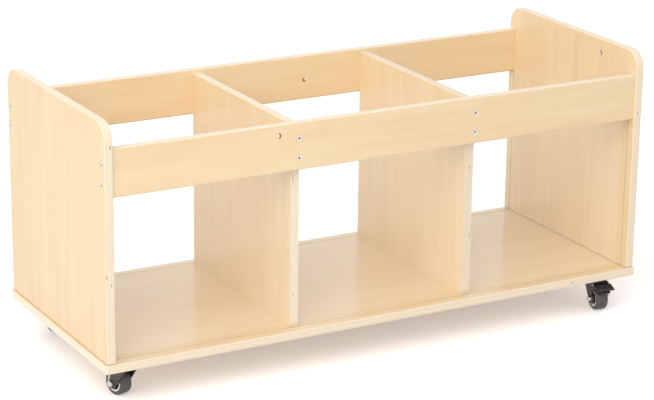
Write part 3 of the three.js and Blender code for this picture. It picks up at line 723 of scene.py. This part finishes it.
black_paint = Finish("satin_black_paint")
peel = black_paint.speckle(per_metre=900.0, detail=2)
scuff = black_paint.noise(black_paint.stretched(SCUFFS_PER_METRE), detail=5, rough=0.7)
black_paint.set(
    base_color=black_paint.blend(black_paint.ramp(scuff, 0.5, 0.8), PAINT_BLACK, PAINT_SCUFFED),
    roughness=black_paint.ramp(scuff, 0.3, 0.8, to_low=0.26, to_high=0.48),
    specular_ior_level=0.6,
)
black_paint.bump(peel, strength=0.1, distance=0.0001)
dressed(plate, black_paint.material)
dressed(plate_screws, zinc.material)

for name, x, y, trail, braked in CASTORS:
    made = copied(plate, f"{name}_fixing_plate", move=(x, y, 0))
    fixed(made, "carcass", "black_steel", f"{name}_castor_plate")
    made = copied(plate_screws, f"{name}_plate_screws", move=(x, y, 0))
    fixed(made, "carcass", "zinc_plated_steel")
bpy.data.objects.remove(plate)
bpy.data.objects.remove(plate_screws)

# Kingpins and ball races: a riveted steel pin hangs each fork from its plate, and a ring of balls
# between the plate and the fork's cup lets it swivel.
CROWN_UNDER, CROWN_TOP = 0.0614, 0.0639
PIN_RADIUS, PIN_OVERLAP, PIN_SHORT = 0.005, 0.001, 0.0001
PIN_HEAD_RADIUS, PIN_HEAD_LOW, PIN_HEAD_PLAY, PIN_HEAD_ROUND = 0.009, 0.0581, 0.0003, 0.0018
BALL_RADIUS, RACE_RADIUS, BALL_LEVEL, BALLS = 0.0029, 0.0155, 0.0671, 14

pin = disc("pin", PIN_RADIUS, CROWN_UNDER - PIN_OVERLAP, PLATE_HIGH - PIN_SHORT, 40)
pin_head = disc("pin_head", PIN_HEAD_RADIUS, PIN_HEAD_LOW, CROWN_UNDER - PIN_HEAD_PLAY, 40)
round_over(
    pin_head, lambda e: max(v.co.z for v in e.verts) < PIN_HEAD_LOW + NEAR, PIN_HEAD_ROUND, 5
)
cut(pin, [pin_head], "UNION")
smooth(pin)
balls = []
for number in range(BALLS):
    turn = 2 * pi * number / BALLS
    start_fresh()
    bpy.ops.mesh.primitive_uv_sphere_add(
        segments=20,
        ring_count=12,
        radius=BALL_RADIUS,
        location=(RACE_RADIUS * cos(turn), RACE_RADIUS * sin(turn), BALL_LEVEL),
    )
    balls.append(settle(named("ball")))
race = joined(balls)
smooth(race, 60)
dressed(pin, zinc.material)
dressed(race, zinc.material)
for name, x, y, trail, braked in CASTORS:
    made = copied(pin, f"{name}_swivel_pin", move=(x, y, 0))
    fixed(made, "carcass", "zinc_plated_steel", f"{name}_kingpin")
    made = copied(race, f"{name}_balls", move=(x, y, 0))
    fixed(made, "carcass", "zinc_plated_steel", f"{name}_ball_race")
bpy.data.objects.remove(pin)
bpy.data.objects.remove(race)

# Forks: one pressing of black steel for each castor, folded down into two legs that narrow to the
# axle, with a cup pressed round the ball race. A braked fork reaches further back for the pedal, and
# its legs are hollowed behind, below the pedal's pin.
TRAIL = 0.022
AXLE_LEVEL = 0.025
FORK_OUTER, FORK_STEEL, FORK_FOLD, FORK_EASE = 0.017, 0.0025, 0.005, 0.0005
FORK_LEAD, FORK_END = -0.017, 0.0105
PLAIN_REAR, BRAKED_REAR, BRAKED_HEEL = 0.019, 0.035, 0.0485
CUP_OUTER, CUP_INNER, CUP_TOP = 0.0215, 0.019, 0.0679
CUP_FLOOR, CUP_EASE = 0.0002, 0.0006
BRAKE_PIN = (0.028, 0.0555)
LEG_HOLLOW, LEG_HOLLOW_AT = 0.0126, (0.0394, 0.0374)


def cross_bar(name, radius, half_width, x, z, facets=64):
    """A round bar that lies across the castor, as its axle does."""
    start_fresh()
    bpy.ops.mesh.primitive_cylinder_add(
        vertices=facets,
        radius=radius,
        depth=2 * half_width,
        location=(x, 0, z),
        rotation=(pi / 2, 0, 0),
    )
    return settle(named(name))


def wrapped(name, pieces):
    """The tight skin round several pieces, with its flat faces made whole."""
    made = joined(pieces)
    made.name = made.data.name = name
    take(made)
    bpy.ops.object.mode_set(mode="EDIT")
    bpy.ops.mesh.select_all(action="SELECT")
    bpy.ops.mesh.convex_hull()
    bpy.ops.mesh.select_all(action="SELECT")
    bpy.ops.mesh.dissolve_limited(angle_limit=radians(0.5))
    bpy.ops.object.mode_set(mode="OBJECT")
    return made


def pressed_fork(name, rear, rear_foot, hollowed):
    ends = [
        cross_bar("leg_end", FORK_END, FORK_OUTER, TRAIL, AXLE_LEVEL),
        block("crown", (FORK_LEAD, -FORK_OUTER, CROWN_UNDER), (0, FORK_OUTER, CROWN_TOP)),
        block("heel", (0, -FORK_OUTER, rear_foot), (rear, FORK_OUTER, CROWN_TOP)),
    ]
    made = wrapped(name, ends)
    if hollowed:
        cut(made, [cross_bar("hollow", LEG_HOLLOW, 2 * FORK_OUTER, *LEG_HOLLOW_AT)])
    pick(made, faces=lambda f: abs(f.normal.y) < 0.9 and f.normal.z < 0.9)
    bpy.ops.mesh.delete(type="FACE")
    bpy.ops.object.mode_set(mode="OBJECT")
    round_over(made, lambda e: len(e.link_faces) == 2 and runs_along(e, X), FORK_FOLD, 6)
    modify(made, "SOLIDIFY", thickness=FORK_STEEL, offset=-1.0, use_even_offset=True)
    modify(made, "BEVEL", width=FORK_EASE, segments=2, limit_method="ANGLE", angle_limit=SHARP)
    cup = disc("cup", CUP_OUTER, CROWN_UNDER + CUP_FLOOR, CUP_TOP)
    pick(cup, faces=lambda f: f.normal.z > 0.9)
    bpy.ops.mesh.inset(thickness=CUP_OUTER - CUP_INNER)
    bpy.ops.transform.translate(value=(0, 0, CROWN_TOP + CUP_FLOOR - CUP_TOP))
    bpy.ops.object.mode_set(mode="OBJECT")
    round_over(cup, is_sharp, CUP_EASE, 3)
    cut(made, [cup], "UNION")
    smooth(made)
    dressed(made, black_paint.material)
    return made


plain_fork = pressed_fork("plain_fork", PLAIN_REAR, CROWN_UNDER, hollowed=False)
braked_fork = pressed_fork("braked_fork", BRAKED_REAR, BRAKED_HEEL, hollowed=True)
for name, x, y, trail, braked in CASTORS:
    made = copied(braked_fork if braked else plain_fork, f"{name}_yoke", radians(trail), (x, y, 0))
    fixed(made, f"{name}_swivel", "black_steel", f"{name}_fork")
bpy.data.objects.remove(plain_fork)
bpy.data.objects.remove(braked_fork)

# Wheels: a grey rubber tyre with round shoulders, bonded to a pale rim, round a black moulded
# centre whose boss fills the width between the fork's legs.
WHEEL_RADIUS, WHEEL_FACETS = 0.025, 96
TYRE_HALF, SHOULDER, TYRE_EASE = 0.013, 0.005, 0.0005
RIM_RADIUS, RIM_INNER, RIM_HALF, MOULDED_EASE = 0.0177, 0.0142, 0.0123, 0.0006
BONDED = 0.0001
WEB_HALF, BOSS_HALF, WHEEL_BOSS, BOSS_TAPER = 0.0065, 0.0142, 0.008, 0.94
CONE_FOOT, CONE_TOP, CONE_RISE = 0.0018, 0.0004, 0.0035
RUBBER_DARK, RUBBER_DUSTY = (0.062, 0.06, 0.057), (0.105, 0.1, 0.094)
RIM_PALE, RIM_DULL = (0.93, 0.935, 0.92), (0.84, 0.85, 0.83)
MOULDING_BLACK, MOULDING_RUBBED = (0.02, 0.019, 0.02), (0.045, 0.043, 0.045)


def ring(name, outer, inner, half_width):
    """A flat-sided ring about the axle: a bar whose ends are inset, opened and joined through."""
    made = cross_bar(name, outer, half_width, TRAIL, AXLE_LEVEL, WHEEL_FACETS)
    pick(made, faces=lambda f: abs(f.normal.y) > 0.9)
    bpy.ops.mesh.inset(thickness=outer - inner, use_individual=True)
    bpy.ops.mesh.delete(type="FACE")
    bpy.ops.mesh.select_mode(type="EDGE")
    bpy.ops.mesh.select_non_manifold()
    bpy.ops.mesh.bridge_edge_loops()
    bpy.ops.mesh.select_all(action="SELECT")
    bpy.ops.mesh.normals_make_consistent(inside=False)
    bpy.ops.object.mode_set(mode="OBJECT")
    return made


def off_axle(edge):
    middle = (edge.verts[0].co + edge.verts[1].co) / 2
    return ((middle.x - TRAIL) ** 2 + (middle.z - AXLE_LEVEL) ** 2) ** 0.5


tyre = ring("tyre", WHEEL_RADIUS, RIM_RADIUS, TYRE_HALF)
tyre_middle = (WHEEL_RADIUS + RIM_RADIUS) / 2
round_over(tyre, lambda e: is_sharp(e) and off_axle(e) > tyre_middle, SHOULDER, 7)
round_over(tyre, is_sharp, TYRE_EASE, 2)
smooth(tyre)
rim = ring("rim", RIM_RADIUS - BONDED, RIM_INNER, RIM_HALF)
round_over(rim, is_sharp, MOULDED_EASE, 3)
smooth(rim)
web_radius, cone_foot, cone_top = RIM_INNER - BONDED, WHEEL_BOSS + CONE_FOOT, WHEEL_BOSS + CONE_TOP
centre = cross_bar("centre", web_radius, WEB_HALF, TRAIL, AXLE_LEVEL, 72)
for side in (-1, 1):
    pick(centre, faces=lambda f: f.normal.y * side > 0.9)
    bpy.ops.mesh.inset(thickness=web_radius - cone_foot)
    reached = WEB_HALF
    for end, share in ((WEB_HALF + CONE_RISE, cone_top / cone_foot), (BOSS_HALF, BOSS_TAPER)):
        rise = side * (end - reached)
        bpy.ops.mesh.extrude_region_move(TRANSFORM_OT_translate={"value": (0, rise, 0)})
        middle = (TRAIL, side * end, AXLE_LEVEL)
        bpy.ops.transform.resize(value=(share, 1, share), center_override=middle)
        reached = end
    bpy.ops.object.mode_set(mode="OBJECT")
round_over(centre, is_sharp, MOULDED_EASE, 3)
smooth(centre)

rubber = Finish("grey_rubber")
dust = rubber.speckle(per_metre=90.0, detail=5, rough=0.65)
grip = rubber.speckle(per_metre=1500.0, detail=2)
rubber.set(
    base_color=rubber.blend(rubber.ramp(dust, 0.35, 0.75), RUBBER_DARK, RUBBER_DUSTY),
    roughness=rubber.ramp(dust, 0.3, 0.8, to_low=0.42, to_high=0.62),
)
rubber.bump(grip, strength=0.15, distance=0.0001)
pale_plastic = Finish("pale_rim")
mould = pale_plastic.speckle(per_metre=300.0, detail=3)
pale_plastic.set(
    base_color=pale_plastic.blend(mould, RIM_PALE, RIM_DULL),
    roughness=pale_plastic.ramp(mould, 0.3, 0.7, to_low=0.22, to_high=0.32),
)
black_plastic = Finish("black_moulding")
leather = black_plastic.speckle(per_metre=1100.0, detail=2)
rubbed = black_plastic.speckle(per_metre=70.0, detail=4)
worn = black_plastic.ramp(rubbed, 0.45, 0.8)
black_plastic.set(
    base_color=black_plastic.blend(worn, MOULDING_BLACK, MOULDING_RUBBED),
    roughness=black_plastic.ramp(rubbed, 0.3, 0.8, to_low=0.36, to_high=0.55),
)
black_plastic.bump(leather, strength=0.2, distance=0.0001)
dressed(tyre, rubber.material)
dressed(rim, pale_plastic.material)
dressed(centre, black_plastic.material)
for name, x, y, trail, braked in CASTORS:
    spot = (radians(trail), (x, y, 0))
    body = f"{name}_wheel"
    fixed(copied(tyre, f"{name}_rubber_tyre", *spot), body, "grey_tyre", f"{name}_tyre")
    fixed(copied(rim, f"{name}_rim", *spot), body, "hub_plastic", f"{name}_wheel_hub")
    fixed(copied(centre, f"{name}_wheel_centre", *spot), body, "black_plastic", f"{name}_wheel_hub")
for one in (tyre, rim, centre):
    bpy.data.objects.remove(one)

# Axles: a zinc-plated hexagon bolt through each fork's legs and wheel, with a nut drawn up on its
# other end.
AXLE_RADIUS, AXLE_FACETS, BORE_PLAY = 0.003, 32, 0.0002
HEX_RADIUS, HEX_HEIGHT, BOLT_END = 0.0064, 0.0062, 0.002
HEX_EASE, HEX_ARRIS, ROD_EASE = 0.0008, 0.0003, 0.0006
SEAT_PLAY = 0.0003

seat = FORK_OUTER + SEAT_PLAY


def hexagon(name, side):
    """A six-sided head or nut against the outside of a leg, with its outer rim eased."""
    made = cross_bar(name, HEX_RADIUS, HEX_HEIGHT / 2, TRAIL, AXLE_LEVEL, 6)
    made.location.y = side * (seat + HEX_HEIGHT / 2)
    settle(made)
    tip = seat + HEX_HEIGHT - NEAR
    round_over(made, lambda e: min(v.co.y * side for v in e.verts) > tip, HEX_EASE, 3)
    round_over(made, lambda e: runs_along(e, Y), HEX_ARRIS, 2)
    return made


bolt = hexagon("bolt", -1)
rod_low, rod_high = -seat - HEX_HEIGHT / 2, seat + HEX_HEIGHT + BOLT_END
rod = cross_bar("rod", AXLE_RADIUS, (rod_high - rod_low) / 2, TRAIL, AXLE_LEVEL, AXLE_FACETS)
rod.location.y = (rod_low + rod_high) / 2
settle(rod)
round_over(rod, lambda e: is_sharp(e) and e.verts[0].co.y > 0, ROD_EASE, 2)
cut(bolt, [rod], "UNION")
smooth(bolt)
nut = hexagon("nut", 1)
cut(nut, [cross_bar("bore", AXLE_RADIUS + BORE_PLAY, 2 * seat, TRAIL, AXLE_LEVEL, AXLE_FACETS)])
smooth(nut)
dressed(bolt, zinc.material)
dressed(nut, zinc.material)
for name, x, y, trail, braked in CASTORS:
    spot = (radians(trail), (x, y, 0))
    body = f"{name}_swivel"
    fixed(copied(bolt, f"{name}_bolt", *spot), body, "zinc_plated_steel", f"{name}_axle_bolt")
    fixed(copied(nut, f"{name}_nut", *spot), body, "zinc_plated_steel", f"{name}_axle_nut")
bpy.data.objects.remove(bolt)
bpy.data.objects.remove(nut)

# Foot brakes: a black moulded pedal on each front castor, hollow below and ribbed on top. It turns
# on a riveted pin between the fork's ears, and its nose swings down onto the tread.
PEDAL_SHOULDER, PEDAL_REACH = 0.039, 0.061
PEDAL_HALF, PEDAL_WALL, PEDAL_CORNER, PEDAL_EASE = 0.019, 0.0022, 0.003, 0.0006
PEDAL_TOP, PEDAL_TIP, PEDAL_SKIRT, PEDAL_TOE = 0.0601, 0.0535, 0.006, 0.0013
RIBS, RIB_FIRST, RIB_PITCH = 4, 0.0045, 0.0042
RIB_HALF, RIB_LONG, RIB_ROOT, RIB_RISE, RIB_EASE = 0.0007, 0.0155, 0.0008, 0.0007, 0.0005
LIP_HALF, LIP_ROOT, LIP_REACH, LIP_TIP = 0.010, 0.046, 0.059, 0.045
BARREL, BARREL_HALF = 0.0046, 0.012
ARM_DEPTH, ARM_ABOVE, ARM_BELOW = 0.0018, 0.0006, 0.0004
NOSE, NOSE_ROOT, NOSE_TIP, NOSE_PLAY = 0.0056, 0.75 * BARREL, 0.0012, 0.0005
NOSE_PRESSED, BRAKE_TRAVEL = -101.1, 22
RIVET_RADIUS, RIVET_PROUD, RIVET_ROUND = 0.0024, 0.0009, 0.0007

fall = (PEDAL_TIP - PEDAL_TOP) / (PEDAL_REACH - PEDAL_SHOULDER)


def skin_under(x):
    """The level of the pedal's underside inside its walls."""
    return PEDAL_TOP + fall * (x - PEDAL_SHOULDER) - PEDAL_WALL


def sloped(name, half_width, near, far):
    """A bar across the castor that runs straight between two ends, each given as its reach and the
    levels of its underside and top."""
    made = block(name, (near[0], -half_width, near[1]), (far[0], half_width, near[2]))
    for level, new_level in zip(near[1:], far[1:]):

        def at_far_end(edge):
            ends = [Vector((v.co.x - far[0], v.co.z - level)) for v in edge.verts]
            return max(end.length for end in ends) < NEAR

        pick(made, edges=at_far_end)
        bpy.ops.transform.translate(value=(0, 0, new_level - level))
        bpy.ops.object.mode_set(mode="OBJECT")
    return made


def on_top(edge):
    return min(v.co.z - skin_under(v.co.x) for v in edge.verts) > 0.9 * PEDAL_WALL


pedal = sloped(
    "pedal",
    PEDAL_HALF,
    (PEDAL_SHOULDER, PEDAL_TOP - PEDAL_SKIRT, PEDAL_TOP),
    (PEDAL_REACH, PEDAL_TIP - PEDAL_TOE, PEDAL_TIP),
)
pocket_start, pocket_end = PEDAL_SHOULDER + PEDAL_WALL, PEDAL_REACH - 3 * PEDAL_WALL
below = PEDAL_TOP - 3 * PEDAL_SKIRT
pocket = sloped(
    "pocket",
    PEDAL_HALF - PEDAL_WALL,
    (pocket_start, below, skin_under(pocket_start)),
    (pocket_end, below, skin_under(pocket_end)),
)
round_over(pedal, lambda e: is_sharp(e) and runs_along(e, Z), PEDAL_CORNER, 6)
round_over(pedal, lambda e: is_sharp(e) and on_top(e), PEDAL_EASE, 3)
cut(pedal, [pocket])
for number in range(RIBS):
    x = PEDAL_SHOULDER + RIB_FIRST + RIB_PITCH * number
    rib = block("rib", (x - RIB_HALF, -RIB_LONG, -RIB_ROOT), (x + RIB_HALF, RIB_LONG, RIB_RISE))
    round_over(rib, lambda e: is_sharp(e) and max(v.co.z for v in e.verts) > 0, RIB_EASE, 3)
    rib.location.z = PEDAL_TOP + fall * (x - PEDAL_SHOULDER)
    settle(rib)
    cut(pedal, [rib], "UNION")
lip_root = skin_under(LIP_ROOT)
lip = sloped(
    "lip",
    LIP_HALF,
    (LIP_ROOT, lip_root - PEDAL_WALL, lip_root + PEDAL_WALL / 2),
    (LIP_REACH, LIP_TIP, LIP_TIP + PEDAL_WALL),
)
round_over(
    lip, lambda e: is_sharp(e) and min(v.co.x for v in e.verts) > LIP_REACH - NEAR, PEDAL_EASE, 3
)
cut(pedal, [lip], "UNION")

barrel = cross_bar("barrel", BARREL, BARREL_HALF, *BRAKE_PIN, 48)
shoulder = block(
    "shoulder",
    (PEDAL_SHOULDER, -BARREL_HALF, PEDAL_TOP - PEDAL_SKIRT + ARM_BELOW),
    (PEDAL_SHOULDER + ARM_DEPTH, BARREL_HALF, PEDAL_TOP - ARM_ABOVE),
)
arm = wrapped("arm", [barrel, shoulder])
nose_turn, nose_out = radians(NOSE_PRESSED + BRAKE_TRAVEL), NOSE - NOSE_TIP
nose_at = (BRAKE_PIN[0] + nose_out * cos(nose_turn), BRAKE_PIN[1] + nose_out * sin(nose_turn))
nose = wrapped(
    "nose",
    [
        cross_bar("nose_root", NOSE_ROOT, BARREL_HALF - NOSE_PLAY, *BRAKE_PIN, 40),
        cross_bar("nose_tip", NOSE_TIP, BARREL_HALF - NOSE_PLAY, *nose_at, 20),
    ],
)
cut(arm, [nose], "UNION")
cut(pedal, [arm], "UNION")
rivet = cross_bar("rivet", RIVET_RADIUS, FORK_OUTER + RIVET_PROUD, *BRAKE_PIN, 32)
round_over(rivet, is_sharp, RIVET_ROUND, 3)
smooth(pedal)
smooth(rivet)
dressed(pedal, black_plastic.material)
dressed(rivet, zinc.material)
for name, x, y, trail, braked in CASTORS:
    if braked:
        spot = (radians(trail), (x, y, 0))
        body = f"{name}_brake"
        fixed(copied(pedal, f"{name}_foot_pedal", *spot), body, "black_plastic", f"{name}_brake_pedal")
        fixed(copied(rivet, f"{name}_pedal_rivet", *spot), body, "zinc_plated_steel")
bpy.data.objects.remove(pedal)
bpy.data.objects.remove(rivet)

# The room: a plain pale floor that takes the bin's shadow, an even white surround, and one large
# soft lamp above the bin's left front.
FLOOR_HALF = 14.0
FLOOR_BOUNCED, FLOOR_SEEN = (0.71, 0.695, 0.685), (0.96, 0.94, 0.93)
FLOOR_GLOW, FLOOR_ROUGH, FLOOR_SHEEN = (0.325, 0.305, 0.30, 1.0), 0.9, 0.1
WHITE = (1.0, 1.0, 1.0, 1.0)
SURROUND_LIGHT, SURROUND_SEEN = 0.77, 1.0
LAMP_AT, LAMP_AIM = Vector((-3.1, -2.5, 3.3)), Vector((0, 0, 0.3))
LAMP_LONG, LAMP_WIDE, LAMP_WATTS = 4.6, 3.6, 150
LAMP_TINT = (1.0, 0.985, 0.965)


def looked_at(tree):
    """1 where a thing is looked at, straight or by a mirror or a clear sheet, and 0 where it only
    lights the bin."""
    paths = tree.nodes.new("ShaderNodeLightPath").outputs
    seen = paths["Is Camera Ray"]
    for kind in ("Is Glossy Ray", "Is Transmission Ray"):
        either = tree.nodes.new("ShaderNodeMath")
        either.operation = "MAXIMUM"
        tree.links.new(seen, either.inputs[0])
        tree.links.new(paths[kind], either.inputs[1])
        seen = either.outputs[0]
    return seen


start_fresh()
bpy.ops.mesh.primitive_plane_add(size=2 * FLOOR_HALF, location=(0, 0, 0))
floor = named("floor")
pale_floor = Finish("pale_floor")
floor_seen = looked_at(pale_floor.tree)
pale_floor.set(
    base_color=pale_floor.blend(floor_seen, FLOOR_BOUNCED, FLOOR_SEEN),
    roughness=FLOOR_ROUGH,
    specular_ior_level=FLOOR_SHEEN,
    emission_color=FLOOR_GLOW,
    emission_strength=floor_seen,
)
dressed(floor, pale_floor.material)
floor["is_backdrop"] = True

surround = bpy.data.worlds.new("surround")
bpy.context.scene.world = surround
surround.use_nodes = True
sky = surround.node_tree.nodes["Background"]
sky.inputs["Color"].default_value = WHITE
strength = surround.node_tree.nodes.new("ShaderNodeMapRange")
strength.inputs["To Min"].default_value = SURROUND_LIGHT
strength.inputs["To Max"].default_value = SURROUND_SEEN
surround.node_tree.links.new(looked_at(surround.node_tree), strength.inputs["Value"])
surround.node_tree.links.new(strength.outputs[0], sky.inputs["Strength"])

lamp_data = bpy.data.lights.new("soft_lamp", "AREA")
lamp_data.shape = "RECTANGLE"
lamp_data.size = LAMP_LONG
lamp_data.size_y = LAMP_WIDE
lamp_data.energy = LAMP_WATTS
lamp_data.color = LAMP_TINT
lamp = bpy.data.objects.new("soft_lamp", lamp_data)
bpy.context.scene.collection.objects.link(lamp)
lamp.location = LAMP_AT
lamp.rotation_mode = "QUATERNION"
lamp.rotation_quaternion = (LAMP_AIM - LAMP_AT).to_track_quat("-Z", "Y")

bpy.context.scene.view_settings.view_transform = "Standard"

low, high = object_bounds()
